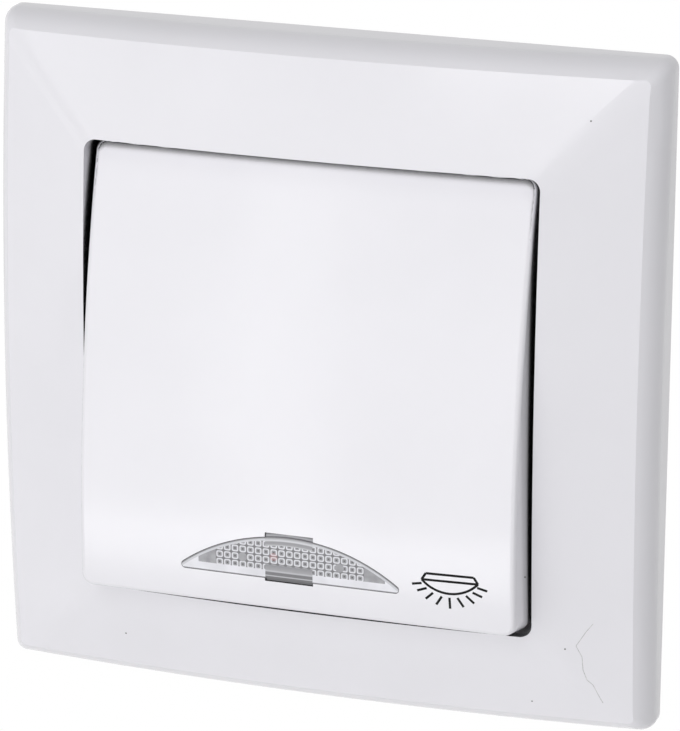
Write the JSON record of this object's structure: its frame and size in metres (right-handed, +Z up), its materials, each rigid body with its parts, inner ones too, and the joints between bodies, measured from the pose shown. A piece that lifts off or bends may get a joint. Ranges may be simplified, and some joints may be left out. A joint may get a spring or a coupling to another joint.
{
  "type": "push button light switch",
  "caption": "Flush wall push button for a light circuit: square frame, rocking button with clear window, and switch insert with spreading claws behind.",
  "frame": {"origin": "midway between the two box screws, on the wall plane behind the frame and the support plate", "axes": "+X to the right and +Z up as seen from the room, +Y into the wall"},
  "size_m": [0.0822, 0.0369, 0.0822],
  "materials": {
    "white_thermoplastic": "glossy pure white",
    "clear_plastic": "clear with a prismatic rear face",
    "light_plastic": "matt moulded",
    "grey_plastic": "matt moulded",
    "zinc_steel": "zinc plated",
    "spring_steel": "drawn wire",
    "brass": "stamped",
    "contact_alloy": "silver contact",
    "lamp_glass": "clear glass tube"
  },
  "bodies": {
    "insert": {"cover_frame": "white_thermoplastic", "support_plate": "zinc_steel", "plate_rivets": "zinc_steel", "housing_cover": "light_plastic", "base_housing": "grey_plastic", "line_strip": "brass", "switched_strip": "brass", "neutral_strip": "brass", "fixed_contact": "contact_alloy", "arm_pin": "spring_steel", "terminal_cage_line": "brass", "terminal_cage_switched": "brass", "terminal_cage_neutral": "brass", "terminal_screw_line": "zinc_steel", "terminal_screw_switched": "zinc_steel", "terminal_screw_neutral": "zinc_steel", "lamp_holder": "light_plastic", "lamp": "lamp_glass", "lamp_pins": "brass", "return_spring_left": "spring_steel", "return_spring_right": "spring_steel"},
    "button": {"rocker": "white_thermoplastic", "lens": "clear_plastic", "carrier": "light_plastic"},
    "arm": {"contact_arm": "brass", "moving_contact": "contact_alloy"},
    "left_screw": {"claw_screw_left": "zinc_steel"},
    "left_nut": {"claw_nut_left": "zinc_steel"},
    "left_claw": {"claw_left": "zinc_steel"},
    "right_screw": {"claw_screw_right": "zinc_steel"},
    "right_nut": {"claw_nut_right": "zinc_steel"},
    "right_claw": {"claw_right": "zinc_steel"}
  },
  "joints": [
    {"name": "button_press", "type": "hinge", "parent": "insert", "child": "button", "pos_m": [0, -0.006, 0], "axis": [1, 0, 0], "range_deg": [0, 7.5], "stiffness_Nm_per_rad": 0.3, "springref_deg": -5.73, "deforming": ["return_spring_left", "return_spring_right"]},
    {"name": "arm_swing", "type": "hinge", "parent": "insert", "child": "arm", "pos_m": [0, 0.006, 0.009], "axis": [1, 0, 0], "range_deg": [0, 3.94]},
    {"name": "left_nut_travel", "type": "slide", "parent": "insert", "child": "left_nut", "axis": [0, -1, 0], "range_m": [0, 0.004]},
    {"name": "left_screw_turn", "type": "hinge", "parent": "insert", "child": "left_screw", "pos_m": [-0.024, 0, 0], "axis": [0, 1, 0], "range_deg": [0, 2880]},
    {"name": "left_claw_spread", "type": "slide", "parent": "insert", "child": "left_claw", "axis": [-0.6428, -0.766, 0], "range_m": [0, 0.00522]},
    {"name": "right_nut_travel", "type": "slide", "parent": "insert", "child": "right_nut", "axis": [0, -1, 0], "range_m": [0, 0.004]},
    {"name": "right_screw_turn", "type": "hinge", "parent": "insert", "child": "right_screw", "pos_m": [0.024, 0, 0], "axis": [0, 1, 0], "range_deg": [0, 2880]},
    {"name": "right_claw_spread", "type": "slide", "parent": "insert", "child": "right_claw", "axis": [0.6428, -0.766, 0], "range_m": [0, 0.00522]}
  ],
  "couplings": [
    {"joint": "arm_swing", "follows": "button_press", "ratio": 0.52478},
    {"joint": "left_screw_turn", "follows": "left_nut_travel", "rad_per_m": 12566},
    {"joint": "left_claw_spread", "follows": "left_nut_travel", "ratio": 1.3054},
    {"joint": "right_screw_turn", "follows": "right_nut_travel", "rad_per_m": 12566},
    {"joint": "right_claw_spread", "follows": "right_nut_travel", "ratio": 1.3054}
  ]
}
